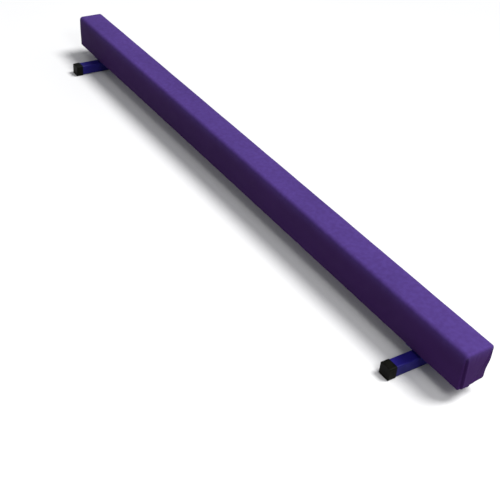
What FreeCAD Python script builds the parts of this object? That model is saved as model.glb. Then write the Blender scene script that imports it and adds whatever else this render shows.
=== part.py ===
import FreeCAD, Part
import os
import Sketcher

# Low balance beam: a wooden beam, padded with foam and wrapped in vinyl,
# bolted on two steel cross tubes with plastic end caps.
#
# Frame, in millimetres: X runs along the beam with its near end at +X, Y runs
# across it with its left side at -Y, and Z is up. The origin is on the floor,
# under the middle of the beam.

DIMENSIONS = [
    # alias, value, what it is
    ("beam_length", 2438.4, "covered beam, end to end: 8 ft"),
    ("board_width", 88.9, "core board, a nominal 2 x 4 laid flat"),
    ("board_thickness", 38.1, "core board"),
    ("board_count", 3, "boards glued in the core, one on another"),
    ("foam_thickness", 6.35, "foam on the top, sides and ends"),
    ("foam_under", 3.2, "thinner foam on the underside"),
    ("cover_thickness", 1.2, "coated vinyl"),
    ("end_fold", 3.6, "three layers of vinyl folded over each end"),
    ("cover_radius", 6.8, "outer edges of the covered beam"),
    ("hem_width", 32, "overlap of the cover along the underside"),
    ("hem_gap", 4, "hem to mounting plate"),
    ("staple_crown", 12.7, "staple across its crown"),
    ("staple_leg", 14, "staple's height"),
    ("staple_wire", 1.1, "staple's wire"),
    ("staple_count", 33, "staples in the row along the hem"),
    ("staple_pitch", 58, "staple to staple"),
    ("leg_inset", 177.8, "beam's end to a cross tube's centre: 7 in"),
    ("tube_size", 38.1, "square steel tube, outside: 1 1/2 in"),
    ("tube_wall", 1.9, "tube's wall"),
    ("tube_radius", 3, "tube's outer corners"),
    ("tube_length", 304.8, "cross tube: 12 in"),
    ("cap_wall", 2, "end cap's sleeve wall"),
    ("cap_end_wall", 3, "end cap's closed end"),
    ("cap_sleeve", 24, "how far a cap reaches over the tube"),
    ("cap_end_radius", 1.4, "rim of a cap's closed end"),
    ("plate_along", 104, "mounting plate along the beam"),
    ("plate_across", 90, "mounting plate across the beam"),
    ("plate_thickness", 6.35, "mounting plate: 1/4 in"),
    ("plate_radius", 8, "mounting plate's corners"),
    ("bolt_spacing_along", 74, "bolt holes along the beam"),
    ("bolt_spacing_across", 56, "bolt holes across the beam"),
    ("bolt_diameter", 7.9, "leg bolt: 5/16 in"),
    ("bolt_length", 38.1, "leg bolt under its head: 1 1/2 in"),
    ("bolt_head_flats", 12.7, "bolt head across its flats"),
    ("bolt_head_height", 5.3, "bolt head"),
    ("bolt_hole", 9, "hole for a bolt in plate, cover and foam"),
    ("bolt_depth", 30, "hole for a bolt in the lowest board"),
    ("washer_diameter", 17.5, "flat washer, outside"),
    ("washer_bore", 8.7, "flat washer, inside"),
    ("washer_thickness", 1.6, "flat washer"),
    ("insert_bore", 8, "threaded insert, inside"),
    ("insert_diameter", 12.5, "threaded insert's body"),
    ("insert_length", 19, "threaded insert with its flange"),
    ("flange_diameter", 17, "threaded insert's flange"),
    ("flange_thickness", 1.5, "threaded insert's flange"),
]

doc = FreeCAD.newDocument("balance_beam")
sheet = doc.addObject("Spreadsheet::Sheet", "dims")
for row, (alias, number, meaning) in enumerate(DIMENSIONS, start=1):
    sheet.set(f"A{row}", meaning)
    sheet.set(f"B{row}", str(number))
    sheet.setAlias(f"B{row}", alias)
doc.recompute()

# Sizes and heights that follow from the driving dimensions, as expressions.
CORE_HEIGHT = "dims.board_count * dims.board_thickness"
INNER_WIDTH = "(dims.board_width + 2 * dims.foam_thickness)"
INNER_HEIGHT = f"({CORE_HEIGHT} + dims.foam_thickness + dims.foam_under)"
OUTER_WIDTH = f"({INNER_WIDTH} + 2 * dims.cover_thickness)"
OUTER_HEIGHT = f"({INNER_HEIGHT} + 2 * dims.cover_thickness)"
INNER_LENGTH = "(dims.beam_length - 2 * dims.end_fold)"
CORE_LENGTH = f"({INNER_LENGTH} - 2 * dims.foam_thickness)"
FOAM_RADIUS = "(dims.cover_radius - dims.cover_thickness)"
PLATE_BOTTOM = "(dims.cap_wall + dims.tube_size)"
COVER_BOTTOM = f"({PLATE_BOTTOM} + dims.plate_thickness)"
FOAM_BOTTOM = f"({COVER_BOTTOM} + dims.cover_thickness)"
CORE_BOTTOM = f"({FOAM_BOTTOM} + dims.foam_under)"
LEG_X = "(dims.beam_length / 2 - dims.leg_inset)"

# The two legs, and the two sides, by name and by sign on X or Y.
LEGS = {"near": 1, "far": -1}
SIDES = {"left": -1, "right": 1}


def value(expression):
    """The number that an expression of the sheet's aliases gives now."""
    return float(sheet.evalExpression(expression))


def new_body(label, loose_pieces=False):
    """An empty body; loose_pieces lets it hold several separate solids."""
    body = doc.addObject("PartDesign::Body", label)
    body.AllowCompound = loose_pieces
    return body


def origin_feature(body, role):
    """One of the body's own origin planes or axes."""
    return next(f for f in body.Origin.OriginFeatures if f.Role == role)


def new_sketch(body, name, role):
    sketch = body.newObject("Sketcher::SketchObject", f"{body.Name}_{name}")
    sketch.AttachmentSupport = [(origin_feature(body, role), "")]
    sketch.MapMode = "FlatFace"
    return sketch


def fix_point(sketch, geometry, point, x, y):
    """Holds a point of the sketch at the expressions x and y."""
    for kind, expression, axis in (("DistanceX", x, -2), ("DistanceY", y, -1)):
        distance = value(expression)
        if distance == 0:
            on_axis = Sketcher.Constraint("PointOnObject", geometry, point, axis)
            sketch.addConstraint(on_axis)
            continue
        held = Sketcher.Constraint(kind, -1, 1, geometry, point, distance)
        number = sketch.addConstraint(held)
        sketch.setExpression(f"Constraints[{number}]", expression)


def add_polygon(sketch, corners):
    """A closed polygon whose corners are pairs of expressions."""
    points = [FreeCAD.Vector(value(x), value(y), 0) for x, y in corners]
    count = len(points)
    lines = []
    for i in range(count):
        edge = Part.LineSegment(points[i], points[(i + 1) % count])
        lines.append(sketch.addGeometry(edge, False))
    for i in range(count):
        joined = Sketcher.Constraint("Coincident", lines[i - 1], 2, lines[i], 1)
        sketch.addConstraint(joined)
    for line, (x, y) in zip(lines, corners):
        fix_point(sketch, line, 1, x, y)


def add_rectangle(sketch, width, height):
    """A rectangle about the sketch's origin."""
    signs = ((-1, -1), (1, -1), (1, 1), (-1, 1))
    add_polygon(sketch, [(f"{i} * {width} / 2", f"{j} * {height} / 2") for i, j in signs])


def add_circle(sketch, diameter, x="0", y="0"):
    centre = FreeCAD.Vector(value(x), value(y), 0)
    ring = Part.Circle(centre, FreeCAD.Vector(0, 0, 1), value(diameter) / 2)
    circle = sketch.addGeometry(ring, False)
    fix_point(sketch, circle, 3, x, y)
    across = Sketcher.Constraint("Diameter", circle, value(diameter))
    number = sketch.addConstraint(across)
    sketch.setExpression(f"Constraints[{number}]", diameter)


def pad(body, sketch, length, midplane=False):
    feature = body.newObject("PartDesign::Pad", f"{sketch.Name}_pad")
    feature.Profile = sketch
    feature.Midplane = midplane
    feature.setExpression("Length", length)
    doc.recompute()
    return feature


def pocket(body, sketch, depth):
    """Cuts the sketch into the body along +Z, from the sketch's plane up."""
    before = body.Shape.Volume
    feature = body.newObject("PartDesign::Pocket", f"{sketch.Name}_pocket")
    feature.Profile = sketch
    feature.Reversed = True
    feature.setExpression("Length", depth)
    doc.recompute()
    if body.Shape.Volume > before - 1:
        raise RuntimeError(f"{sketch.Name} cuts nothing")
    return feature


def round_edges(body, base, radius, chosen, name="rounding"):
    """Fillets the edges of base that the function chosen picks out."""
    edges = [f"Edge{i}" for i, edge in enumerate(base.Shape.Edges, 1) if chosen(edge)]
    if not edges:
        raise RuntimeError(f"{body.Name}: no edge to round")
    feature = body.newObject("PartDesign::Fillet", f"{body.Name}_{name}")
    feature.Base = (base, edges)
    feature.setExpression("Radius", radius)
    doc.recompute()
    return feature


def runs_along(edge, axis):
    """True for a straight edge along the axis "x", "y" or "z"."""
    if not isinstance(edge.Curve, Part.Line):
        return False
    direction = edge.Curve.Direction
    return abs(abs(getattr(direction, axis)) - 1) < 1e-6


def place(item, x="0", y="0", z="0", turn_about_x=0):
    """Puts an object at three expressions, after turning it about X, in degrees."""
    turn = FreeCAD.Rotation(FreeCAD.Vector(1, 0, 0), turn_about_x)
    item.Placement = FreeCAD.Placement(FreeCAD.Vector(), turn)
    for axis, expression in (("x", x), ("y", y), ("z", z)):
        item.setExpression(f"Placement.Base.{axis}", expression)
    doc.recompute()


def repeat_as_bolts(body, features):
    """Repeats features at the four corners of the bolt pattern."""
    pattern = body.newObject("PartDesign::LinearPattern", f"{body.Name}_pattern")
    pattern.Originals = features
    pattern.Direction = (origin_feature(body, "X_Axis"), [""])
    pattern.Direction2 = (origin_feature(body, "Y_Axis"), [""])
    pattern.setExpression("Length", "dims.bolt_spacing_along")
    pattern.setExpression("Length2", "dims.bolt_spacing_across")
    pattern.Occurrences = 2
    pattern.Occurrences2 = 2
    body.Tip = pattern
    doc.recompute()


def place_bolt_set(body, leg, z):
    """Puts a set of four so that it is centred over one leg."""
    x = f"{LEGS[leg]} * {LEG_X} - dims.bolt_spacing_along / 2"
    place(body, x, "-1 * dims.bolt_spacing_across / 2", z)


def add_bolt_circles(sketch, diameter, leg_sign):
    """Four circles of the bolt pattern; leg_sign 0 centres them on the origin."""
    for i in (-1, 1):
        for j in (-1, 1):
            x = f"{leg_sign} * {LEG_X} + {i} * dims.bolt_spacing_along / 2"
            add_circle(sketch, diameter, x, f"{j} * dims.bolt_spacing_across / 2")


def cut(label, base, tool):
    """The base object less the tool object, as a node of its own."""
    result = doc.addObject("Part::Cut", label)
    result.Base = base
    result.Tool = tool
    doc.recompute()
    return result


# ---------------------------------------------------------------- staples
def make_staples():
    """A row of staples, crown down, through the hem into the lowest board."""
    body = new_body("cover_staples", loose_pieces=True)
    sketch = new_sketch(body, "outline", "XZ_Plane")
    outside = "dims.staple_crown / 2"
    inside = "(dims.staple_crown / 2 - dims.staple_wire)"
    add_polygon(
        sketch,
        [
            (f"-1 * {outside}", "0"),
            (outside, "0"),
            (outside, "dims.staple_leg"),
            (inside, "dims.staple_leg"),
            (inside, "dims.staple_wire"),
            (f"-1 * {inside}", "dims.staple_wire"),
            (f"-1 * {inside}", "dims.staple_leg"),
            (f"-1 * {outside}", "dims.staple_leg"),
        ],
    )
    staple = pad(body, sketch, "dims.staple_wire", midplane=True)
    pattern = body.newObject("PartDesign::LinearPattern", "cover_staples_row")
    pattern.Originals = [staple]
    pattern.Direction = (origin_feature(body, "X_Axis"), [""])
    pattern.setExpression("Occurrences", "dims.staple_count")
    pattern.setExpression("Length", "(dims.staple_count - 1) * dims.staple_pitch")
    body.Tip = pattern
    place(
        body,
        x="-1 * (dims.staple_count - 1) * dims.staple_pitch / 2",
        z=f"{COVER_BOTTOM} - dims.cover_thickness - dims.staple_wire",
    )
    return body


# ------------------------------------------------------------------- core
def make_board(label, level):
    """A core board, level boards above the lowest one."""
    body = new_body(label)
    sketch = new_sketch(body, "section", "YZ_Plane")
    add_rectangle(sketch, "dims.board_width", "dims.board_thickness")
    pad(body, sketch, CORE_LENGTH, midplane=True)
    place(body, z=f"{CORE_BOTTOM} + {level + 0.5} * dims.board_thickness")
    return body


def make_lowest_board(staples):
    """The board that takes the threaded inserts, the bolts and the staples."""
    plain = make_board("lowest_board_plain", 0)
    drilled = new_body("insert_holes", loose_pieces=True)
    for name, diameter, depth in (
        ("flange", "dims.flange_diameter", "dims.flange_thickness"),
        ("barrel", "dims.insert_diameter", "dims.insert_length"),
        ("shank", "dims.bolt_hole", "dims.bolt_depth"),
    ):
        sketch = new_sketch(drilled, name, "XY_Plane")
        for leg_sign in LEGS.values():
            add_bolt_circles(sketch, diameter, leg_sign)
        pad(drilled, sketch, depth)
    place(drilled, z=CORE_BOTTOM)
    bored = cut("lowest_board_bored", plain, drilled)
    return cut("core_board_bottom", bored, staples)


# ------------------------------------------------------------------- foam
def make_foam_top():
    body = new_body("foam_top")
    sketch = new_sketch(body, "section", "YZ_Plane")
    add_rectangle(sketch, INNER_WIDTH, "dims.foam_thickness")
    strip = pad(body, sketch, CORE_LENGTH, midplane=True)
    round_edges(
        body,
        strip,
        FOAM_RADIUS,
        lambda edge: runs_along(edge, "x") and edge.CenterOfMass.z > 0,
    )
    place(body, z=f"{CORE_BOTTOM} + {CORE_HEIGHT} + dims.foam_thickness / 2")
    return body


def make_foam_side(side):
    """A side strip, from the top of the underside's foam to under the top strip."""
    body = new_body(f"foam_{side}")
    sketch = new_sketch(body, "section", "YZ_Plane")
    strip_height = f"({CORE_HEIGHT} + dims.foam_under)"
    add_rectangle(sketch, "dims.foam_thickness", strip_height)
    strip = pad(body, sketch, CORE_LENGTH, midplane=True)
    sign = SIDES[side]
    round_edges(
        body,
        strip,
        FOAM_RADIUS,
        lambda edge: runs_along(edge, "x")
        and edge.CenterOfMass.z < 0
        and edge.CenterOfMass.y * sign > 0,
    )
    place(
        body,
        y=f"{sign} * (dims.board_width + dims.foam_thickness) / 2",
        z=f"{FOAM_BOTTOM} + {strip_height} / 2",
    )
    return body


def make_foam_underside(staples):
    plain = new_body("foam_underside_plain")
    sketch = new_sketch(plain, "section", "YZ_Plane")
    add_rectangle(sketch, "dims.board_width", "dims.foam_under")
    pad(plain, sketch, CORE_LENGTH, midplane=True)
    place(plain, z=f"{FOAM_BOTTOM} + dims.foam_under / 2")
    drilled = cut("foam_underside_drilled", plain, make_bolt_clearance())
    return cut("foam_underside", drilled, staples)


def make_foam_end(end):
    """A pad on the beam's end, over the core and the ends of the long strips."""
    body = new_body(f"foam_end_{end}")
    sketch = new_sketch(body, "section", "YZ_Plane")
    add_rectangle(sketch, INNER_WIDTH, INNER_HEIGHT)
    slab = pad(body, sketch, "dims.foam_thickness", midplane=True)
    sign = LEGS[end]
    round_edges(
        body,
        slab,
        FOAM_RADIUS,
        lambda edge: runs_along(edge, "x") or edge.CenterOfMass.x * sign > 1,
    )
    place(
        body,
        x=f"{sign} * ({INNER_LENGTH} - dims.foam_thickness) / 2",
        z=f"{FOAM_BOTTOM} + {INNER_HEIGHT} / 2",
    )
    return body


# ------------------------------------------------------------------ cover
def make_bolt_clearance():
    """Eight upright pins that clear the bolts through the cover and the foam."""
    body = new_body("bolt_clearance", loose_pieces=True)
    sketch = new_sketch(body, "circles", "XY_Plane")
    for leg_sign in LEGS.values():
        add_bolt_circles(sketch, "dims.bolt_hole", leg_sign)
    pad(body, sketch, f"({CORE_BOTTOM} - {PLATE_BOTTOM})")
    place(body, z=PLATE_BOTTOM)
    return body


def make_rounded_block(label, length, width, height, radius, bottom):
    body = new_body(label)
    sketch = new_sketch(body, "section", "YZ_Plane")
    add_rectangle(sketch, width, height)
    block = pad(body, sketch, length, midplane=True)
    round_edges(body, block, radius, lambda edge: True)
    place(body, z=f"{bottom} + {height} / 2")
    return body


def make_hem():
    """The cover's overlap under the beam, in three runs between the plates."""
    plate_edge = "(dims.plate_along / 2 + dims.hem_gap)"
    end_margin = "2 * dims.cover_radius"
    middle = f"2 * ({LEG_X} - {plate_edge})"
    outer = f"(dims.leg_inset - {plate_edge} - {end_margin})"
    outer_start = f"({LEG_X} + {plate_edge})"
    runs = (
        ("hem_middle", middle, f"-1 * {middle} / 2"),
        ("hem_near", outer, outer_start),
        ("hem_far", outer, f"-1 * {outer_start} - {outer}"),
    )
    strips = []
    for label, length, start in runs:
        strip = doc.addObject("Part::Box", label)
        strip.setExpression("Length", length)
        strip.setExpression("Width", "dims.hem_width")
        strip.setExpression("Height", "1.5 * dims.cover_thickness")
        place(strip, start, "-1 * dims.hem_width / 2", f"{COVER_BOTTOM} - dims.cover_thickness")
        strips.append(strip)
    return strips


def make_cover(staples):
    outside = make_rounded_block(
        "cover_outside",
        "dims.beam_length",
        OUTER_WIDTH,
        OUTER_HEIGHT,
        "dims.cover_radius",
        COVER_BOTTOM,
    )
    inside = make_rounded_block(
        "cover_inside", INNER_LENGTH, INNER_WIDTH, INNER_HEIGHT, FOAM_RADIUS, FOAM_BOTTOM
    )
    hemmed = doc.addObject("Part::MultiFuse", "cover_hemmed")
    hemmed.Shapes = [outside] + make_hem()
    doc.recompute()
    hollow = cut("cover_hollow", hemmed, inside)
    drilled = cut("cover_drilled", hollow, doc.getObject("bolt_clearance"))
    return cut("vinyl_cover", drilled, staples)


# ------------------------------------------------------------------- legs
def make_cross_tube(leg):
    body = new_body(f"cross_tube_{leg}")
    outline = new_sketch(body, "outline", "XY_Plane")
    add_rectangle(outline, "dims.tube_size", "dims.tube_size")
    bar = pad(body, outline, "dims.tube_length")
    round_edges(body, bar, "dims.tube_radius", lambda edge: runs_along(edge, "z"))
    hole = new_sketch(body, "hollow", "XY_Plane")
    bore = "(dims.tube_size - 2 * dims.tube_wall)"
    add_rectangle(hole, bore, bore)
    hollow = pocket(body, hole, "dims.tube_length")
    reach = value(bore) / 2 + 0.01
    round_edges(
        body,
        hollow,
        "dims.tube_radius - dims.tube_wall",
        lambda edge: runs_along(edge, "z") and abs(edge.CenterOfMass.x) < reach
        and abs(edge.CenterOfMass.y) < reach,
        "hollow_rounding",
    )
    place(
        body,
        f"{LEGS[leg]} * {LEG_X}",
        "-1 * dims.tube_length / 2",
        "dims.cap_wall + dims.tube_size / 2",
        turn_about_x=-90,
    )
    return body


def make_end_cap(leg, side):
    """A sleeve closed at its outer end, pushed over the end of a cross tube."""
    body = new_body(f"end_cap_{leg}_{side}")
    outline = new_sketch(body, "outline", "XY_Plane")
    outer = "(dims.tube_size + 2 * dims.cap_wall)"
    add_rectangle(outline, outer, outer)
    block = pad(body, outline, "dims.cap_sleeve + dims.cap_end_wall")
    sides = round_edges(
        body,
        block,
        "dims.tube_radius + dims.cap_wall",
        lambda edge: runs_along(edge, "z"),
    )
    closed_end = value("dims.cap_sleeve + dims.cap_end_wall")
    round_edges(
        body,
        sides,
        "dims.cap_end_radius",
        lambda edge: abs(edge.CenterOfMass.z - closed_end) < 0.01,
        "rim_rounding",
    )
    socket = new_sketch(body, "socket", "XY_Plane")
    add_rectangle(socket, "dims.tube_size", "dims.tube_size")
    hollow = pocket(body, socket, "dims.cap_sleeve")
    reach = value("dims.tube_size") / 2 + 0.01
    round_edges(
        body,
        hollow,
        "dims.tube_radius",
        lambda edge: runs_along(edge, "z") and abs(edge.CenterOfMass.x) < reach
        and abs(edge.CenterOfMass.y) < reach,
        "socket_rounding",
    )
    sign = SIDES[side]
    place(
        body,
        f"{LEGS[leg]} * {LEG_X}",
        f"{sign} * (dims.tube_length / 2 - dims.cap_sleeve)",
        "dims.cap_wall + dims.tube_size / 2",
        turn_about_x=-90 * sign,
    )
    return body


def make_mount_plate(leg):
    body = new_body(f"mount_plate_{leg}")
    outline = new_sketch(body, "outline", "XY_Plane")
    add_rectangle(outline, "dims.plate_along", "dims.plate_across")
    slab = pad(body, outline, "dims.plate_thickness")
    round_edges(body, slab, "dims.plate_radius", lambda edge: runs_along(edge, "z"))
    holes = new_sketch(body, "holes", "XY_Plane")
    add_bolt_circles(holes, "dims.bolt_hole", 0)
    pocket(body, holes, "dims.plate_thickness")
    place(body, x=f"{LEGS[leg]} * {LEG_X}", z=PLATE_BOTTOM)
    return body


def make_bolts(leg):
    """Four hexagon-head bolts; the underside of a head is at the body's Z zero."""
    body = new_body(f"leg_bolts_{leg}", loose_pieces=True)
    hexagon = new_sketch(body, "head", "XY_Plane")
    corner = "dims.bolt_head_flats / sqrt(3)"
    turns = range(0, 360, 60)
    add_polygon(hexagon, [(f"{corner} * cos({a})", f"{corner} * sin({a})") for a in turns])
    head = body.newObject("PartDesign::Pad", f"{body.Name}_head_pad")
    head.Profile = hexagon
    head.Reversed = True
    head.setExpression("Length", "dims.bolt_head_height")
    round_shank = new_sketch(body, "shank", "XY_Plane")
    add_circle(round_shank, "dims.bolt_diameter")
    shank = pad(body, round_shank, "dims.bolt_length")
    repeat_as_bolts(body, [head, shank])
    place_bolt_set(body, leg, f"{PLATE_BOTTOM} - dims.washer_thickness")
    return body


def make_washers(leg):
    body = new_body(f"leg_washers_{leg}", loose_pieces=True)
    ring = new_sketch(body, "ring", "XY_Plane")
    add_circle(ring, "dims.washer_diameter")
    add_circle(ring, "dims.washer_bore")
    washer = pad(body, ring, "dims.washer_thickness")
    repeat_as_bolts(body, [washer])
    place_bolt_set(body, leg, f"{PLATE_BOTTOM} - dims.washer_thickness")
    return body


def make_inserts(leg):
    """Four flanged inserts, let into the lowest board flush with its underside."""
    body = new_body(f"threaded_inserts_{leg}", loose_pieces=True)
    profile = new_sketch(body, "profile", "XZ_Plane")
    add_polygon(
        profile,
        [
            ("dims.insert_bore / 2", "0"),
            ("dims.flange_diameter / 2", "0"),
            ("dims.flange_diameter / 2", "dims.flange_thickness"),
            ("dims.insert_diameter / 2", "dims.flange_thickness"),
            ("dims.insert_diameter / 2", "dims.insert_length"),
            ("dims.insert_bore / 2", "dims.insert_length"),
        ],
    )
    insert = body.newObject("PartDesign::Revolution", f"{body.Name}_turned")
    insert.Profile = profile
    insert.ReferenceAxis = (profile, ["V_Axis"])
    insert.Angle = 360
    doc.recompute()
    repeat_as_bolts(body, [insert])
    place_bolt_set(body, leg, CORE_BOTTOM)
    return body


# --------------------------------------------------------------- assembly
def build():
    """Makes every sub-part and returns them as a list."""
    staples = make_staples()
    nodes = [staples, make_lowest_board(staples)]
    nodes.append(make_board("core_board_middle", 1))
    nodes.append(make_board("core_board_top", 2))
    nodes.append(make_foam_top())
    nodes += [make_foam_side(side) for side in SIDES]
    nodes.append(make_foam_underside(staples))
    nodes += [make_foam_end(end) for end in LEGS]
    nodes.append(make_cover(staples))
    for leg in LEGS:
        nodes.append(make_cross_tube(leg))
        nodes.append(make_mount_plate(leg))
        nodes += [make_end_cap(leg, side) for side in SIDES]
        nodes.append(make_bolts(leg))
        nodes.append(make_washers(leg))
        nodes.append(make_inserts(leg))
    doc.recompute()
    return nodes


def check(nodes):
    """Stops if any object failed, or any node isn't one or more good solids."""
    for item in doc.Objects:
        if "Invalid" in item.State or "Error" in item.State:
            raise RuntimeError(f"{item.Label} failed: {item.State}")
    for node in nodes:
        shape = node.Shape
        if shape.isNull() or not shape.isValid() or not shape.Solids:
            raise RuntimeError(f"{node.Label} has no valid solid")


def export(nodes):
    os.makedirs("parts", exist_ok=True)
    for node in nodes:
        node.Shape.exportStep(f"parts/{node.Label}.step")
        box = node.Shape.BoundBox
        size = f"{box.XLength:.2f} x {box.YLength:.2f} x {box.ZLength:.2f}"
        print(f"{node.Label}: {len(node.Shape.Solids)} solid(s), {size} mm, from z {box.ZMin:.2f}")


sub_parts = build()
check(sub_parts)
export(sub_parts)
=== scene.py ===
"""Looks of the low balance beam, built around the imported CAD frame.

Metres, in the CAD's own frame: +X runs along the beam to its near end, -Y is its left side, +Z is up,
and the floor is Z = 0. The vinyl cover and the foam pads are soft, so they are built here as padded
meshes. The steel, plastic and wooden pieces are the CAD's own, with procedural materials.
"""

import math

import bpy
import numpy as np
from mathutils import Matrix, Vector


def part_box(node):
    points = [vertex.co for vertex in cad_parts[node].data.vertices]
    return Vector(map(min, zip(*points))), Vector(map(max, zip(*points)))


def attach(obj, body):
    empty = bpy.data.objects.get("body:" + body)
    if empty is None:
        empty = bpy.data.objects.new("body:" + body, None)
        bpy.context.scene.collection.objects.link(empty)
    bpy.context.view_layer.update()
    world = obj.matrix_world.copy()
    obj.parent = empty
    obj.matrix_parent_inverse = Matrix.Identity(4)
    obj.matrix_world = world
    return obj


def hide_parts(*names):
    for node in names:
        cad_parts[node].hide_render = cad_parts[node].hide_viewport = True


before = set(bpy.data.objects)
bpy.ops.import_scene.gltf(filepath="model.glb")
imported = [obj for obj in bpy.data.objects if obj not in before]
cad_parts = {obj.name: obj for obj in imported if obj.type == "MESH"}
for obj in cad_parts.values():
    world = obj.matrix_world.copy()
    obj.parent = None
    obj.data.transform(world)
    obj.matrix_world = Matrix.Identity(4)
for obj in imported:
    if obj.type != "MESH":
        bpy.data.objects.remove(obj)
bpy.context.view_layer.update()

ENDS = ("near", "far")
SIDES = ("left", "right")
PADS = ("top", "left", "right", "underside", "end_near", "end_far")
BOARDS = ("top", "middle", "bottom")
TURN = 2 * math.pi
MICRON = 1e-6
TINY = 1e-9

# ---------------------------------------------------------------- sizes read from the CAD frame
cover_low, cover_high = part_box("vinyl_cover")
plate_low, plate_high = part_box("mount_plate_near")
_, staples_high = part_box("cover_staples")

HALF_LENGTH = cover_high.x
HALF_WIDTH = cover_high.y
WIDTH = 2 * HALF_WIDTH
TOP = cover_high.z
UNDERSIDE = plate_high.z
HEIGHT = TOP - UNDERSIDE
PLATE_X = (plate_low.x + plate_high.x) / 2
PLATE_HALF = ((plate_high.x - plate_low.x) / 2, (plate_high.y - plate_low.y) / 2)
COVER_LOW = (-HALF_LENGTH, -HALF_WIDTH, UNDERSIDE)
COVER_HIGH = (HALF_LENGTH, HALF_WIDTH, TOP)

# ---------------------------------------------------------------- the cover's shape
EDGE_RADIUS = 0.0078
SHOULDER_RADIUS = 0.0135
SWELL_SHARE = 0.36  # of the simulated bulge
SWELL_LIMIT = 0.0022
UNEVENNESS = 0.00018
# Each wave is (length along the beam, length round it, phase).
WAVES = ((0.310, 0.190, 0.9), (0.173, 0.120, 2.3), (0.097, 0.083, 4.1))
WAVE_SKEW = 7

# The overlap along the underside, its staples, and how the plates press on it.
HEM_HALF_WIDTH = 0.016
HEM_RISE = UNDERSIDE - cover_low.z
HEM_STEP = 0.0014
HEM_COVERED_STEP = 0.006
HEM_GAP = 0.004
HEM_RUNOUT = 0.005
HEM_PUFF = 0.0005
STAPLE_PITCH = 0.058
PUCKER = 0.0003
PUCKER_FADE = 0.010
SIDE_PUCKER_REACH = 0.35
PLATE_BULGE = 0.0007
BULGE_PLACE = 0.007
BULGE_WIDTH = 0.006
PLATE_CLEARANCE = 0.0001
PRESSED_RIM = 0.001
PLATE_FADE = 0.020

# The parcel folds at the ends. Places are fractions across the end or down it, and a ramp is
# (where it starts, how long it takes).
FLAP_LEFT_EDGE = 0.085
FLAP_LEFT_RAMP = (-0.02, 0.22)
FLAP_LEFT_LEAN = 0.03
FLAP_RIGHT_LEAN = 0.62
FLAP_RIGHT_CURVE = 1.15
FLAP_WALL = 0.0045 / WIDTH
FLAP_CROWN = 0.0010
FLAP_LIP = 0.0006
FLAP_LIP_WIDTH = 0.03
FLAP_GATHER = 0.00028
GATHER_PLACE = 0.10
GATHER_LENGTH = 0.20
GATHER_SLOPE = (29, 5)  # radians across the end and down it
GATHER_WOBBLE = (1.7, 13, 1.1)  # strength, rate across the end and phase
LEAST_SPAN = 1e-3
FOLDS_OPEN = (0.03, 0.16)
FOLDS_CLOSE = (0.88, 0.12)
CLOSED_SHARE = 0.7
LEFT_TUCK = 0.0074
LEFT_TUCK_RAMP = (0, 0.055)
RIGHT_TUCK = 0.0076
RIGHT_TUCK_MORE = 0.0010
RIGHT_TUCK_RAMP = (0.3, 0.6)
CORNER_TUCK = 0.0080
CORNER_TUCK_RAMP = (0.35, 0.5)
END_GRIP = 0.030
TAB_LENGTH = 0.034
TAB_STEP = 0.003
TAB_RISE = 0.0010

# How finely the cover is divided.
FINE_STEP = 0.0013
FACE_STEP = 0.0018
FINE_BORDER = 0.015
LONG_STEP = 0.010
LONG_BORDER = 0.012
STEP_GROWTH = 1.3
CENTRE_GAP = 0.6
DIGITS = 7

# ---------------------------------------------------------------- the cloth simulation
SIM_FRAMES = 40
SIM_AVERAGED = 20
SIM_STEP_LONG = 0.0125
SIM_STEP_ROUND = 0.0065
SIM_INSET = 0.0008
CLOTH = {
    "quality": 5,
    "tension_stiffness": 40,
    "compression_stiffness": 40,
    "shear_stiffness": 15,
    "bending_stiffness": 2,
    "use_pressure": True,
    "uniform_pressure_force": 1.2,
}
STAPLE_REACH = 0.007  # the vinyl is held this near a staple
PLATE_REACH = 0.002  # and this near a plate
EDGE_SLOPE = 0.3  # and where its normal turns this far from both faces at an edge
UNDER_SLOPE = 0.99  # a normal that points down this straight is on the underside

# ---------------------------------------------------------------- foam pads
PAD_CLEARANCE = 0.0004
PAD_RADIUS = 0.0035
PAD_RADIUS_SHARE = 0.3
PAD_STEP = 0.0055
PAD_LONG_STEP = 0.030
PAD_WAVE = 0.00015
PAD_WAVE_TURNS = (61.0, 97.0, 83.0)
PAD_END_CLEARANCE = 0.0030
END_PAD_INSET = 0.0055
SKIN_DEPTH = 0.0018
PINCHED_PAD = 0.0004
PINCH_REACH = 0.007
PINCH_SAMPLES = 9

# ---------------------------------------------------------------- weld beads
BEAD_LEG = 0.0042
BEAD_SINK = 0.0006
BEAD_HOLLOW = 0.16
BEAD_RIPPLE = 0.00035
BEAD_PITCH = 0.0034
BEAD_INSET = 0.004
BEAD_END_SHARE = 0.25
BEAD_STATIONS = 112
BEAD_POINTS_ROUND = 7

# ---------------------------------------------------------------- colours, linear, as (dark, light)
# Painted shade and painted light: one vinyl in a darker copy for the sides and a lighter copy painted on top
VINYL_PAINTED_SHADE = ((0.0250, 0.0066, 0.053), (0.0320, 0.0090, 0.069))
VINYL_PAINTED_LIGHT = ((0.052, 0.0280, 0.145), (0.065, 0.0350, 0.177))
VINYL_SHEEN = (0.55, 0.45, 0.95, 1)
PAINTED_LIGHT_FALL = 9.0  # the power by which the painted light fades down the sides
FOAM_CREAM = ((0.62, 0.57, 0.46), (0.74, 0.70, 0.60))
WOOD_LATE = ((0.60, 0.40, 0.21), (0.40, 0.22, 0.09))
WOOD_EARLY = ((0.68, 0.48, 0.27), (0.50, 0.31, 0.14))
NAVY = ((0.0075, 0.005, 0.090), (0.0130, 0.009, 0.128))
BLACK = ((0.0026, 0.0027, 0.0018), (0.0056, 0.0056, 0.0042))
ZINC = ((0.46, 0.47, 0.49), (0.66, 0.67, 0.69))
WIRE = ((0.42, 0.42, 0.43), (0.60, 0.60, 0.61))
BRASS = ((0.50, 0.42, 0.24), (0.66, 0.58, 0.38))
FLOOR_GREY = ((0.61, 0.61, 0.61), (0.64, 0.64, 0.64))

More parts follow.
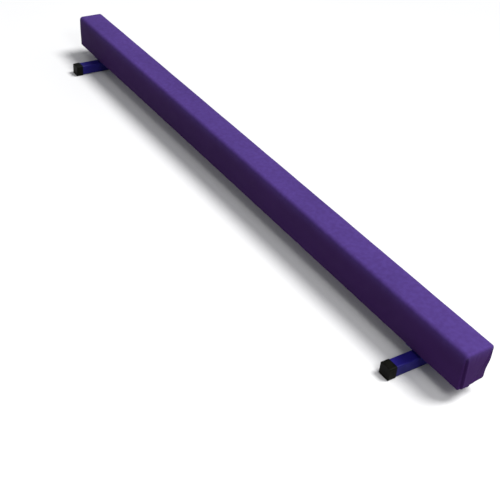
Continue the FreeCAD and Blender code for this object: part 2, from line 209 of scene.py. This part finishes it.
# ---------------------------------------------------------------- floor, lights and camera
FLOOR_HALF = 60.0
FLOOR_DROP = 0.0004
FLOOR_LINES = 9
SUN_STRENGTH = 4.05
SUN_WIDTH = 24
SUN_DIRECTION = (-0.24, -0.40, -0.88)
SOFTBOX_PLACE = (3.2, -0.3, 2.9)
SOFTBOX_AIM = (1.2, 0.0, 0.1)
SOFTBOX_SIZE = 1.2
SOFTBOX_POWER = 54
SURROUND_COLOUR = (0.95, 0.96, 1.0, 1)
SURROUND_STRENGTH = 0.42
CAMERA_AZIMUTH = 55.15
CAMERA_ELEVATION = 35.60
CAMERA_ROLL = 4.75
CAMERA_DISTANCE = 2.921
CAMERA_AIM = (0.4906, -0.2546, 0.110)
CAMERA_LENS = 69.31
CAMERA_SENSOR = 36.0


# ---------------------------------------------------------------- curves
def smooth_step(value, width):
    """0 where value is negative, 1 from width on, and a soft ramp between."""
    t = np.clip(value / width, 0, 1)
    return t * t * (3 - 2 * t)


def ramp(value, start_and_length):
    """0 up to the start, 1 from the start plus the length on, and a soft ramp between."""
    start, length = start_and_length
    return smooth_step(value - start, length)


def blob(value, width):
    """A soft hump, 1 at value 0."""
    return np.exp(-((value / width) ** 2))


# ---------------------------------------------------------------- meshes
def graded(low, high, fine, coarse, border):
    """Coordinates from low to high: fine steps within border of both ends, longer ones between."""
    steps = [0.0]
    step = fine
    while steps[-1] < (high - low) / 2 - coarse * CENTRE_GAP:
        if steps[-1] > border:
            step = min(step * STEP_GROWTH, coarse)
        steps.append(steps[-1] + step)
    half = np.array(steps)
    centre = (low + high) / 2
    return np.unique(np.round(np.concatenate([low + half, [centre], high - half]), DIGITS))


def even(low, high, step):
    """Evenly spaced coordinates from low to high, about a step apart, with one at the centre."""
    return np.linspace(low, high, 2 * round((high - low) / step / 2) + 1)


def on_skin(shape):
    """Which points of a box-shaped grid are on its outside."""
    outside = np.zeros(shape, bool)
    for axis in range(3):
        sides = [slice(None)] * 3
        sides[axis] = [0, -1]
        outside[tuple(sides)] = True
    return outside


def box_skin(xs, ys, zs):
    """Points and outward quads of the closed box that the three coordinate lists span."""
    outside = on_skin((len(xs), len(ys), len(zs)))
    number = np.full(outside.shape, -1)
    number[outside] = np.arange(outside.sum())
    i, j, k = np.nonzero(outside)
    points = np.stack([xs[i], ys[j], zs[k]], axis=1)
    faces = (
        (number[-1], False),
        (number[0], True),
        (number[:, 0], False),
        (number[:, -1], True),
        (number[:, :, -1], False),
        (number[:, :, 0], True),
    )
    quads = []
    for grid, flipped in faces:
        corners = [grid[:-1, :-1], grid[1:, :-1], grid[1:, 1:], grid[:-1, 1:]]
        if flipped:
            corners.reverse()
        quads.append(np.stack([c.ravel() for c in corners], axis=1))
    return points, np.concatenate(quads)


def rounded(points, low, high, radius):
    """The box's points moved on to the same box with rounded edges, and the way out at each."""
    inner = np.clip(points, np.array(low) + radius, np.array(high) - radius)
    out = points - inner
    normal = out / np.linalg.norm(out, axis=1, keepdims=True)
    return inner + normal * radius, normal


def add_object(name, data):
    """An object with this name and data, in the scene."""
    made = bpy.data.objects.new(name, data)
    bpy.context.scene.collection.objects.link(made)
    return made


def make_piece(name, points, faces, material):
    """A smooth-shaded mesh piece that rides on the beam's one body."""
    mesh = bpy.data.meshes.new(name)
    mesh.from_pydata(points, [], faces)
    mesh.polygons.foreach_set("use_smooth", [True] * len(mesh.polygons))
    mesh.materials.append(material)
    mesh.update()
    piece = add_object(name, mesh)
    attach(piece, "root")
    return piece


# ---------------------------------------------------------------- the cover's relief
def plate_distance(x, y):
    """How far a point of the underside is outside the nearer mounting plate; negative inside it."""
    dx = np.abs(np.abs(x) - PLATE_X) - PLATE_HALF[0]
    dy = np.abs(y) - PLATE_HALF[1]
    outside = np.hypot(np.maximum(dx, 0), np.maximum(dy, 0))
    return np.where((dx < 0) & (dy < 0), np.maximum(dx, dy), outside)


def tension(x):
    """0 at each staple and 1 half-way to the next."""
    return (1 - np.cos(TURN * x / STAPLE_PITCH)) / 2


def hem_relief(x, y):
    """The cover's overlap along the underside: none at the plates, and held down at each staple."""
    folded_edge = smooth_step(y + HEM_HALF_WIDTH, HEM_STEP)
    covered_edge = smooth_step(HEM_HALF_WIDTH - y, HEM_COVERED_STEP)
    lap = folded_edge * covered_edge
    free = smooth_step(np.abs(np.abs(x) - PLATE_X) - PLATE_HALF[0] - HEM_GAP, HEM_RUNOUT)
    stapled = smooth_step(staples_high.x + STAPLE_PITCH / 2 - np.abs(x), STAPLE_PITCH / 2)
    return lap * free * (HEM_RISE + HEM_PUFF * tension(x) * stapled)


def underside_relief(x, y):
    """Everything that stands out of the flat underside, as a height downwards.

    That is the hem, the ends of the folded flaps, the bulge round each plate and the puckers.
    """
    gap = plate_distance(x, y)
    bulge = PLATE_BULGE * blob(gap - BULGE_PLACE, BULGE_WIDTH) * (gap > 0)
    pressed = -PLATE_CLEARANCE * (gap <= PRESSED_RIM)
    pucker = -PUCKER * np.cos(TURN * x / STAPLE_PITCH) * smooth_step(gap, PLATE_FADE)
    pucker = pucker * smooth_step(np.abs(y) - HEM_HALF_WIDTH, PUCKER_FADE)
    _, across, _ = end_coordinates(x, y, 0)
    tab = smooth_step(np.abs(x) - HALF_LENGTH + TAB_LENGTH, TAB_STEP)
    tab = tab * flap_cover(across, 1.0)
    return hem_relief(x, y) * (1 - tab) + tab * TAB_RISE + bulge + pressed + pucker


def unevenness(points):
    """The slight waviness of vinyl stretched over foam."""
    x, y, z = points.T
    total = 0
    for length, girth, phase in WAVES:
        lengthwise = np.sin(TURN * x / length + WAVE_SKEW * phase)
        total = total + lengthwise * np.cos(TURN * (y - z) / girth + phase)
    return UNEVENNESS * total


def end_coordinates(x, y, z):
    """At each end: the way out, 0..1 across from the left as seen from outside, 0..1 downwards."""
    way = np.sign(x)
    across = (way * y + HALF_WIDTH) / WIDTH
    down = (TOP - z) / HEIGHT
    return way, across, down


def flap_edges(down):
    """Where the folded flap's left and right edges are, as fractions across the end."""
    left = FLAP_LEFT_EDGE * ramp(down, FLAP_LEFT_RAMP) + FLAP_LEFT_LEAN * down
    right = 1 - FLAP_RIGHT_LEAN * np.clip(down, 0, 1) ** FLAP_RIGHT_CURVE
    return left, right


def flap_cover(across, down):
    """1 on the flap that folds down over the end, 0 on the tucked-in sheets beside it."""
    left, right = flap_edges(down)
    return smooth_step(across - left, FLAP_WALL) * smooth_step(right - across, FLAP_WALL)


def tuck_depth(across, down):
    """How deep the sheets are tucked in on both sides of the flap."""
    left, right = flap_edges(down)
    finish = 1 - CLOSED_SHARE * ramp(down, FOLDS_CLOSE)
    left_depth = LEFT_TUCK * finish * ramp(across, LEFT_TUCK_RAMP)
    side = np.clip((across - right) / np.maximum(1 - right, LEAST_SPAN), 0, 1)
    valley = RIGHT_TUCK + RIGHT_TUCK_MORE * ramp(down, RIGHT_TUCK_RAMP)
    corner = CORNER_TUCK * ramp(down, CORNER_TUCK_RAMP)
    right_depth = valley * finish * (1 - side) + corner * side
    return np.where(across < (left + right) / 2, left_depth, right_depth)


def flap_relief(across, down):
    """The flap's own form: a low crown, raised lips along its edges and gathers near its top."""
    left, right = flap_edges(down)
    middle = np.clip((across - left) / np.maximum(right - left, LEAST_SPAN), 0, 1)
    crown = FLAP_CROWN * np.sin(math.pi * middle) * np.sin(math.pi * np.clip(down, 0, 1))
    lips = blob(across - left - FLAP_WALL, FLAP_LIP_WIDTH) + blob(right - FLAP_WALL - across, FLAP_LIP_WIDTH)
    strength, rate, phase = GATHER_WOBBLE
    wobble = strength * np.sin(rate * across + phase)
    waver = GATHER_SLOPE[0] * across + GATHER_SLOPE[1] * down + wobble
    gather = FLAP_GATHER * np.sin(waver) * blob(down - GATHER_PLACE, GATHER_LENGTH)
    return crown + FLAP_LIP * lips + gather


def end_relief(across, down):
    """How far the folded end stands out from a flat end; negative where the sheet is tucked in."""
    flap = flap_cover(across, down)
    folds = flap * flap_relief(across, down) - (1 - flap) * tuck_depth(across, down)
    return ramp(down, FOLDS_OPEN) * folds


def softened(points):
    """The two long upper edges drawn from EDGE_RADIUS to the wider SHOULDER_RADIUS.

    Each point near such an edge slides along its ray from the wide arc's centre, so that a point
    of the tightly rounded section lands on the wide arc.
    """
    sign = np.sign(points[:, 1])
    out = np.stack([np.abs(points[:, 1]) - HALF_WIDTH, points[:, 2] - TOP], axis=1) + SHOULDER_RADIUS
    near = (out > MICRON).all(axis=1)
    ray = out / np.maximum(np.linalg.norm(out, axis=1, keepdims=True), TINY)
    flat = SHOULDER_RADIUS / np.maximum(ray.max(axis=1), TINY)
    centre = SHOULDER_RADIUS - EDGE_RADIUS
    along = ray.sum(axis=1) * centre
    root = np.sqrt(np.maximum(along**2 - 2 * centre**2 + EDGE_RADIUS**2, 0))
    tight = np.where(flat * ray.min(axis=1) <= centre, flat, along + root)
    out = out * (SHOULDER_RADIUS / np.maximum(tight, TINY))[:, None] - SHOULDER_RADIUS
    points[near, 1] = (sign * (out[:, 0] + HALF_WIDTH))[near]
    points[near, 2] = (out[:, 1] + TOP)[near]
    return points


def shaped_cover(rest, swell):
    """The cover's skin: a rounded box with swollen faces, a stapled hem and folded ends."""
    points, normal = rounded(rest, COVER_LOW, COVER_HIGH, EDGE_RADIUS)
    x, y, z = rest.T
    on_top = np.clip(normal[:, 2], 0, 1) ** 2
    under = np.clip(-normal[:, 2], 0, 1) ** 2
    on_side = normal[:, 1] ** 2
    level = (z - (TOP + UNDERSIDE) / 2) / (HEIGHT / 2)
    relief = underside_relief(x, y) * under
    relief = relief + unevenness(rest) * (on_top + on_side)
    side_pull = -PUCKER * np.cos(TURN * x / STAPLE_PITCH) * blob(level + 1, SIDE_PUCKER_REACH)
    relief = relief + side_pull * on_side + swell
    points = softened(points + normal * relief[:, None])
    way, across, down = end_coordinates(x, y, z)
    grip = np.clip((np.abs(x) - HALF_LENGTH + END_GRIP) / END_GRIP, 0, 1) ** 2
    points[:, 0] += way * grip * end_relief(across, down)
    return points


# ---------------------------------------------------------------- the cover's swell
def is_held(rest, normal):
    """Where the vinyl can't swell: ends, long edges, under the plates and at each staple."""
    x, y, _ = rest.T
    ends = np.abs(x) > HALF_LENGTH - EDGE_RADIUS
    edges = np.minimum(np.abs(normal[:, 1]), np.abs(normal[:, 2])) > EDGE_SLOPE
    under = normal[:, 2] < -UNDER_SLOPE
    plates = under & (plate_distance(x, y) <= PLATE_REACH)
    to_staple = np.abs(x - STAPLE_PITCH * np.round(x / STAPLE_PITCH))
    staples = under & (to_staple < STAPLE_REACH) & (np.abs(y) < STAPLE_REACH)
    return ends | edges | plates | (staples & (np.abs(x) < staples_high.x + STAPLE_REACH))


def settled_cloth(start, quads, held):
    """The simulated sheet's points under pressure, averaged over the last frames.

    The sheet rings and doesn't come to rest, so the average is an estimate of its rest form.
    """
    mesh = bpy.data.meshes.new("swelling")
    mesh.from_pydata(start.tolist(), [], quads.tolist())
    cloth = add_object("swelling", mesh)
    cloth.vertex_groups.new(name="held").add(np.nonzero(held)[0].tolist(), 1.0, "REPLACE")
    settings = cloth.modifiers.new("cloth", "CLOTH").settings
    for key, value in CLOTH.items():
        setattr(settings, key, value)
    settings.effector_weights.gravity = 0
    settings.vertex_group_mass = "held"
    total = np.zeros(start.size)
    here = np.zeros(start.size)
    for number in range(1, SIM_FRAMES + 1):
        bpy.context.scene.frame_set(number)
        if number > SIM_FRAMES - SIM_AVERAGED:
            evaluated = cloth.evaluated_get(bpy.context.evaluated_depsgraph_get())
            evaluated.data.vertices.foreach_get("co", here)
            total += here
    bpy.data.objects.remove(cloth)
    bpy.context.scene.frame_set(1)
    return (total / SIM_AVERAGED).reshape(-1, 3)


def simulated_swell():
    """How far the tight vinyl bulges over its foam where it isn't fastened.

    Gives the coordinate lists of a coarse skin and how far out each of its points moves. The
    simulation gives the swell's form. Its size is a share of that, because real faces are flatter.
    """
    steps = (SIM_STEP_LONG, SIM_STEP_ROUND, SIM_STEP_ROUND)
    lists = [even(*span) for span in zip(COVER_LOW, COVER_HIGH, steps)]
    rest, quads = box_skin(*lists)
    inset = [low + SIM_INSET for low in COVER_LOW], [high - SIM_INSET for high in COVER_HIGH]
    start, normal = rounded(np.clip(rest, *inset), *inset, EDGE_RADIUS)
    travel = settled_cloth(start, quads, is_held(rest, normal)) - start
    outward = (travel * normal).sum(axis=1)
    return lists, np.clip(outward * SWELL_SHARE, 0, SWELL_LIMIT)


def sampled(points, lists, values):
    """The coarse skin's values at other points of the same box, by trilinear interpolation."""
    shape = [len(steps) for steps in lists]
    grid = np.zeros(shape)
    grid[on_skin(shape)] = values
    places = [np.interp(points[:, a], lists[a], np.arange(shape[a])) for a in range(3)]
    base = [np.minimum(place.astype(int), size - 2) for place, size in zip(places, shape)]
    total = np.zeros(len(points))
    for corner in range(8):
        bits = [corner >> axis & 1 for axis in range(3)]
        weight = np.ones(len(points))
        for bit, place, low in zip(bits, places, base):
            weight = weight * (place - low if bit else 1 - place + low)
        total += weight * grid[tuple(low + bit for bit, low in zip(bits, base))]
    return total


def build_cover(material):
    """The padded vinyl cover, one closed form in place of the CAD's plain shell."""
    xs = graded(COVER_LOW[0], COVER_HIGH[0], FINE_STEP, LONG_STEP, LONG_BORDER)
    ys = graded(COVER_LOW[1], COVER_HIGH[1], FINE_STEP, FACE_STEP, FINE_BORDER)
    zs = graded(COVER_LOW[2], COVER_HIGH[2], FINE_STEP, FACE_STEP, FINE_BORDER)
    rest, quads = box_skin(xs, ys, zs)
    points = shaped_cover(rest, sampled(rest, *simulated_swell()))
    piece = make_piece("padded_cover", points.tolist(), quads.tolist(), material)
    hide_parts("vinyl_cover")


# ---------------------------------------------------------------- foam pads
def kept_inside(points):
    """Points outside the cover's inner surface, at its rounded edges, moved in to it."""
    inner = np.clip(points, np.array(COVER_LOW) + EDGE_RADIUS, np.array(COVER_HIGH) - EDGE_RADIUS)
    out = points - inner
    reach = np.linalg.norm(out, axis=1, keepdims=True)
    allowed = np.minimum(reach, EDGE_RADIUS - SKIN_DEPTH)
    return softened(inner + out * allowed / np.maximum(reach, TINY))


def pinched(points, face):
    """An end pad's points moved in behind the cover's folds, beyond face, the pad's inner end."""
    x, y, z = points.T
    way, across, down = end_coordinates(x, y, z)
    shifts = np.linspace(-PINCH_REACH, PINCH_REACH, PINCH_SAMPLES) / WIDTH
    folds = np.min([end_relief(across + shift, down) for shift in shifts], axis=0)
    behind = np.maximum(HALF_LENGTH + folds - SKIN_DEPTH, face + PINCHED_PAD)
    moved = np.stack([way * np.minimum(np.abs(x), behind), y, z], axis=1)
    return np.where(np.abs(points[:, :1]) > face + PINCHED_PAD, moved, points)


def build_pad(part, material):
    """One foam pad inside the cover, in place of its plain CAD solid."""
    node = f"foam_{part}"
    at_end = part.startswith("end")
    low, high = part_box(node)
    low = np.array(low) + PAD_CLEARANCE
    high = np.array(high) - PAD_CLEARANCE
    if at_end:
        low[1:] += END_PAD_INSET
        high[1:] -= END_PAD_INSET
    else:
        low[0] += PAD_END_CLEARANCE
        high[0] -= PAD_END_CLEARANCE
    size = high - low
    radius = min(PAD_RADIUS, size.min() * PAD_RADIUS_SHARE)
    lists = []
    for axis in range(3):
        coarse = PAD_LONG_STEP if size[axis] > 1 else PAD_STEP
        lists.append(graded(low[axis], high[axis], radius / 3, coarse, radius))
    rest, quads = box_skin(*lists)
    points, normal = rounded(rest, low, high, radius)
    wave = np.sin(rest @ np.array(PAD_WAVE_TURNS)) * PAD_WAVE
    points = kept_inside(points + normal * wave[:, None])
    if at_end:
        points = pinched(points, min(abs(low[0]), abs(high[0])))
    piece = make_piece(f"pad_{part}", points.tolist(), quads.tolist(), material)
    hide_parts(node)


# ---------------------------------------------------------------- weld beads
def bead_ring(y, start, stop, edge, way, floor):
    """The bead's outline at one station: its root in the corner, then points round its face."""
    ends = min(1.0, (y - start) / BEAD_LEG + BEAD_END_SHARE, (stop - y) / BEAD_LEG + BEAD_END_SHARE)
    scallop = abs(math.sin(math.pi * (y - start) / BEAD_PITCH))
    reach = (BEAD_LEG + BEAD_RIPPLE * scallop) * math.sqrt(ends)
    ring = [(edge - way * BEAD_SINK, y, floor + BEAD_SINK)]
    for angle in np.linspace(0, math.pi / 2, BEAD_POINTS_ROUND):
        bulge = reach * (1 - BEAD_HOLLOW * math.sin(2 * angle))
        ring.append((edge + way * bulge * math.cos(angle), y, floor - bulge * math.sin(angle)))
    return [tuple(map(float, point)) for point in ring]


def build_welds(end, material):
    """Rippled fillet welds along both sides of a cross tube, where it meets its mounting plate."""
    tube_low, tube_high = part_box(f"cross_tube_{end}")
    low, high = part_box(f"mount_plate_{end}")
    start, stop = low.y + BEAD_INSET, high.y - BEAD_INSET
    stations = np.linspace(start, stop, BEAD_STATIONS)
    size = BEAD_POINTS_ROUND + 1
    last = BEAD_STATIONS - 1
    points, faces = [], []
    for edge, way in ((tube_low.x, -1), (tube_high.x, 1)):
        base = len(points)
        for y in stations:
            points += bead_ring(y, start, stop, edge, way, low.z)
        for row in range(last):
            for k in range(size):
                a = base + row * size + k
                b = base + row * size + (k + 1) % size
                quad = (a, a + size, b + size, b)
                faces.append(quad if way > 0 else quad[::-1])
        for row, outward in ((0, -1), (last, 1)):
            ring = [base + row * size + k for k in range(size)]
            middle = len(points)
            points.append(tuple(map(float, np.mean([points[r] for r in ring], axis=0))))
            for k in range(size):
                face = (ring[k], ring[(k + 1) % size], middle)
                faces.append(face if way * outward > 0 else face[::-1])
    make_piece(f"weld_beads_{end}", points, faces, material)


# ---------------------------------------------------------------- materials
class Shader:
    """A material under construction: its nodes are added and joined by short calls.

    Scales are in cells or waves a metre, and bump distances in metres.
    """

    def __init__(self, name, **sockets):
        self.material = bpy.data.materials.new(name)
        self.material.use_nodes = True
        self.tree = self.material.node_tree
        self.surface = self.tree.nodes["Principled BSDF"]
        for key, value in sockets.items():
            self.surface.inputs[key.replace("_", " ")].default_value = value
        self.place = self.node("ShaderNodeTexCoord").outputs["Object"]

    def node(self, kind, **settings):
        made = self.tree.nodes.new(kind)
        for key, value in settings.items():
            setattr(made, key, value)
        return made

    def join(self, source, target):
        self.tree.links.new(source, target)

    def stretched(self, scale):
        """The object's coordinates, scaled unevenly."""
        made = self.node("ShaderNodeMapping")
        made.inputs["Scale"].default_value = scale
        self.join(self.place, made.inputs["Vector"])
        return made.outputs["Vector"]

    def noise(self, scale, detail=3.0, roughness=0.5, place=None):
        made = self.node("ShaderNodeTexNoise")
        made.inputs["Scale"].default_value = scale
        made.inputs["Detail"].default_value = detail
        made.inputs["Roughness"].default_value = roughness
        self.join(place or self.place, made.inputs["Vector"])
        return made.outputs["Fac"]

    def cells(self, scale, feature="F1"):
        made = self.node("ShaderNodeTexVoronoi", feature=feature)
        made.inputs["Scale"].default_value = scale
        self.join(self.place, made.inputs["Vector"])
        return made.outputs["Distance"]

    def shade(self, factor, start, stop, colours):
        """From the first colour, up to start along the factor, to the second, from stop on."""
        made = self.node("ShaderNodeValToRGB")
        for element, position, colour in zip(made.color_ramp.elements, (start, stop), colours):
            element.position = position
            element.color = (*colour, 1)
        self.join(factor, made.inputs["Fac"])
        return made.outputs["Color"]

    def blend(self, factor, first, second):
        """Two colour outputs mixed by a factor output."""
        made = self.node("ShaderNodeMix", data_type="RGBA")
        self.join(factor, made.inputs["Factor"])
        self.join(first, made.inputs["A"])
        self.join(second, made.inputs["B"])
        return made.outputs["Result"]

    def spread(self, factor, low, high, start=0.0, stop=1.0):
        """A factor mapped from start..stop on to low..high."""
        made = self.node("ShaderNodeMapRange")
        for key, value in (("From Min", start), ("From Max", stop), ("To Min", low), ("To Max", high)):
            made.inputs[key].default_value = value
        self.join(factor, made.inputs["Value"])
        return made.outputs["Result"]

    def bump(self, *layers):
        """Bumps laid over one another; each layer is (height output, distance, strength)."""
        below = None
        for height, distance, strength in layers:
            made = self.node("ShaderNodeBump")
            made.inputs["Distance"].default_value = distance
            made.inputs["Strength"].default_value = strength
            self.join(height, made.inputs["Height"])
            if below:
                self.join(below, made.inputs["Normal"])
            below = made.outputs["Normal"]
        self.join(below, self.surface.inputs["Normal"])

    def colour(self, output):
        self.join(output, self.surface.inputs["Base Color"])

    def roughness(self, output):
        self.join(output, self.surface.inputs["Roughness"])


def painted_top_light(s):
    """Painted light: the vinyl painted lighter on top, fading fast down the sides, and slightly speckled."""
    height = s.node("ShaderNodeSeparateXYZ")
    s.join(s.place, height.inputs["Vector"])
    fading = s.node("ShaderNodeMath", operation="POWER")
    fading.inputs[1].default_value = PAINTED_LIGHT_FALL
    s.join(s.spread(height.outputs["Z"], 0.0, 1.0, UNDERSIDE, TOP), fading.inputs[0])
    painted_lit = s.node("ShaderNodeMath", operation="MULTIPLY")
    s.join(fading.outputs["Value"], painted_lit.inputs[0])
    s.join(s.spread(s.noise(70.0, detail=3.0), 0.75, 1.0, 0.35, 0.65), painted_lit.inputs[1])
    return painted_lit.outputs["Value"]


def vinyl():
    """Soft purple vinyl: a fine pebble grain, cloudy tone and a faint velvety sheen."""
    s = Shader("purple_vinyl", Sheen_Weight=0.03, Sheen_Roughness=0.5, Specular_IOR_Level=0.035)
    s.surface.inputs["Sheen Tint"].default_value = VINYL_SHEEN
    cloud = s.noise(5.5, detail=4.0, roughness=0.55, place=s.stretched((0.55, 1.0, 1.0)))
    # Painted shade on the sides and painted light on top, blended by height
    painted_shade = s.shade(cloud, 0.30, 0.72, VINYL_PAINTED_SHADE)
    painted_lit = s.shade(cloud, 0.30, 0.72, VINYL_PAINTED_LIGHT)
    s.colour(s.blend(painted_top_light(s), painted_shade, painted_lit))
    s.roughness(s.spread(s.noise(24.0, detail=3.0), 0.62, 0.78))
    grain = s.cells(760.0, "SMOOTH_F1")
    pores = s.noise(1500.0, detail=2.0)
    drape = s.noise(16.0, detail=2.0, roughness=0.4, place=s.stretched((0.6, 1.0, 1.0)))
    s.bump((drape, 0.0012, 0.35), (grain, 0.00025, 0.55), (pores, 0.00008, 0.4))
    return s.material


def foam():
    """Cream closed-cell foam with visible cells."""
    s = Shader("cream_foam", Sheen_Weight=0.1, Specular_IOR_Level=0.3)
    s.colour(s.shade(s.noise(14.0, detail=4.0), 0.3, 0.7, FOAM_CREAM))
    s.roughness(s.spread(s.noise(60.0), 0.80, 0.95))
    s.bump((s.cells(520.0), 0.0004, 0.8), (s.noise(1400.0, detail=2.0), 0.0001, 0.5))
    return s.material


def softwood():
    """Sawn softwood: long streaks of darker grain with a few pores."""
    s = Shader("sawn_softwood", Specular_IOR_Level=0.3)
    along = s.stretched((0.035, 1.0, 1.0))
    rings = s.node("ShaderNodeTexWave", wave_type="RINGS", rings_direction="X")
    for key, value in (("Scale", 38.0), ("Distortion", 7.0), ("Detail", 3.0), ("Detail Scale", 1.4)):
        rings.inputs[key].default_value = value
    s.join(along, rings.inputs["Vector"])
    grain = rings.outputs["Fac"]
    late = s.shade(grain, 0.15, 0.85, WOOD_LATE)
    early = s.shade(grain, 0.15, 0.85, WOOD_EARLY)
    s.colour(s.blend(s.noise(9.0, detail=4.0), late, early))
    s.roughness(s.spread(grain, 0.62, 0.78))
    s.bump((grain, 0.0003, 0.4), (s.noise(900.0, detail=2.0, roughness=0.6, place=along), 0.0002, 0.4))
    return s.material


def navy_paint():
    """Navy powder coat with orange peel and a little handling wear."""
    s = Shader("navy_powder_coat", Specular_IOR_Level=0.14)
    s.colour(s.shade(s.noise(30.0, detail=4.0), 0.3, 0.75, NAVY))
    s.roughness(s.spread(s.noise(45.0, detail=4.0), 0.30, 0.46))
    s.bump((s.noise(420.0, detail=2.0), 0.00018, 0.35), (s.cells(1300.0), 0.00004, 0.3))
    return s.material


def black_plastic():
    """Moulded black plastic with a fine spark-eroded texture."""
    s = Shader("black_moulded_plastic", Specular_IOR_Level=0.04)
    s.colour(s.shade(s.noise(55.0, detail=3.0), 0.3, 0.75, BLACK))
    s.roughness(s.spread(s.noise(120.0, detail=3.0), 0.42, 0.58))
    s.bump((s.noise(1600.0, detail=2.0), 0.00006, 0.5), (s.noise(90.0, detail=2.0), 0.0002, 0.2))
    return s.material


def bright_metal(name, colours, rough, spangle):
    """Plated or drawn metal: patchy plating tone, fine scratches and a soft shine."""
    s = Shader(name, Metallic=1.0)
    s.colour(s.shade(s.cells(spangle), 0.1, 0.8, colours))
    s.roughness(s.spread(s.noise(300.0, detail=4.0), rough, rough + 0.16))
    s.bump((s.noise(900.0, detail=3.0, roughness=0.6, place=s.stretched((1.0, 6.0, 1.0))), 0.00004, 0.5))
    return s.material


def dress(node, material):
    """The CAD node keeps its shape, and this material goes into its slots."""
    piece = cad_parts[node]
    for place in piece.material_slots:
        place.material = material
    if not piece.material_slots:
        piece.data.materials.append(material)


# ---------------------------------------------------------------- floor, lights and camera
def build_floor():
    """A plain pale floor. It isn't part of the object."""
    s = Shader("pale_floor", Specular_IOR_Level=0.2)
    s.colour(s.shade(s.noise(0.8, detail=2.0), 0.3, 0.7, FLOOR_GREY))
    s.roughness(s.spread(s.noise(6.0), 0.75, 0.85))
    mesh = bpy.data.meshes.new("studio_floor")
    lines = np.linspace(-FLOOR_HALF, FLOOR_HALF, FLOOR_LINES)
    points = [(x, y, -FLOOR_DROP) for y in lines for x in lines]
    n = FLOOR_LINES
    quads = [
        (r * n + c, r * n + c + 1, (r + 1) * n + c + 1, (r + 1) * n + c)
        for r in range(n - 1)
        for c in range(n - 1)
    ]
    mesh.from_pydata(points, [], quads)
    mesh.materials.append(s.material)
    add_object("studio_floor", mesh)


def add_lamp(name, kind, energy, direction, place=(0, 0, 0), **settings):
    """A light that shines from a place in a direction."""
    light = bpy.data.lights.new(name, kind)
    light.energy = energy
    for key, value in settings.items():
        setattr(light, key, value)
    lamp = add_object(name, light)
    lamp.location = place
    lamp.rotation_euler = Vector(direction).to_track_quat("-Z", "Y").to_euler()


def build_lights():
    """Broad light from overhead and a little to the right, a softbox, and a dim even surround."""
    add_lamp("overhead", "SUN", SUN_STRENGTH, SUN_DIRECTION, angle=math.radians(SUN_WIDTH))
    shining = Vector(SOFTBOX_AIM) - Vector(SOFTBOX_PLACE)
    softbox = {"place": SOFTBOX_PLACE, "shape": "SQUARE", "size": SOFTBOX_SIZE}
    add_lamp("near_softbox", "AREA", SOFTBOX_POWER, shining, **softbox)
    world = bpy.data.worlds.new("studio")
    world.use_nodes = True
    backdrop = world.node_tree.nodes["Background"]
    backdrop.inputs["Color"].default_value = SURROUND_COLOUR
    backdrop.inputs["Strength"].default_value = SURROUND_STRENGTH
    bpy.context.scene.world = world
    bpy.context.scene.view_settings.view_transform = "Standard"


def build_camera():
    """The camera stands at the photograph's viewing angle."""
    azimuth, elevation, roll = map(math.radians, (CAMERA_AZIMUTH, CAMERA_ELEVATION, CAMERA_ROLL))
    back = Vector((
        math.sin(azimuth) * math.cos(elevation),
        -math.cos(azimuth) * math.cos(elevation),
        math.sin(elevation),
    ))
    level_right = Vector((math.cos(azimuth), math.sin(azimuth), 0))
    level_up = back.cross(level_right)
    right = level_right * math.cos(roll) + level_up * math.sin(roll)
    up = back.cross(right)
    data = bpy.data.cameras.new("photo_camera")
    data.lens = CAMERA_LENS
    data.sensor_width = CAMERA_SENSOR
    camera = add_object("photo_camera", data)
    turn = Matrix((right, up, back)).transposed().to_4x4()
    camera.matrix_world = Matrix.Translation(Vector(CAMERA_AIM) + back * CAMERA_DISTANCE) @ turn
    bpy.context.scene.camera = camera


# ---------------------------------------------------------------- the scene
def build_scene():
    build_cover(vinyl())
    cream = foam()
    for part in PADS:
        build_pad(part, cream)
    wood = softwood()
    for board in BOARDS:
        dress(f"core_board_{board}", wood)
    navy = navy_paint()
    black = black_plastic()
    zinc = bright_metal("zinc_plating", ZINC, 0.26, 260.0)
    wire = bright_metal("staple_wire", WIRE, 0.30, 420.0)
    brass = bright_metal("insert_metal", BRASS, 0.28, 300.0)
    for end in ENDS:
        dress(f"cross_tube_{end}", navy)
        dress(f"mount_plate_{end}", navy)
        build_welds(end, navy)
        dress(f"leg_bolts_{end}", zinc)
        dress(f"leg_washers_{end}", zinc)
        dress(f"threaded_inserts_{end}", brass)
        for side in SIDES:
            dress(f"end_cap_{end}_{side}", black)
    dress("cover_staples", wire)
    build_floor()
    build_lights()
    build_camera()


build_scene()
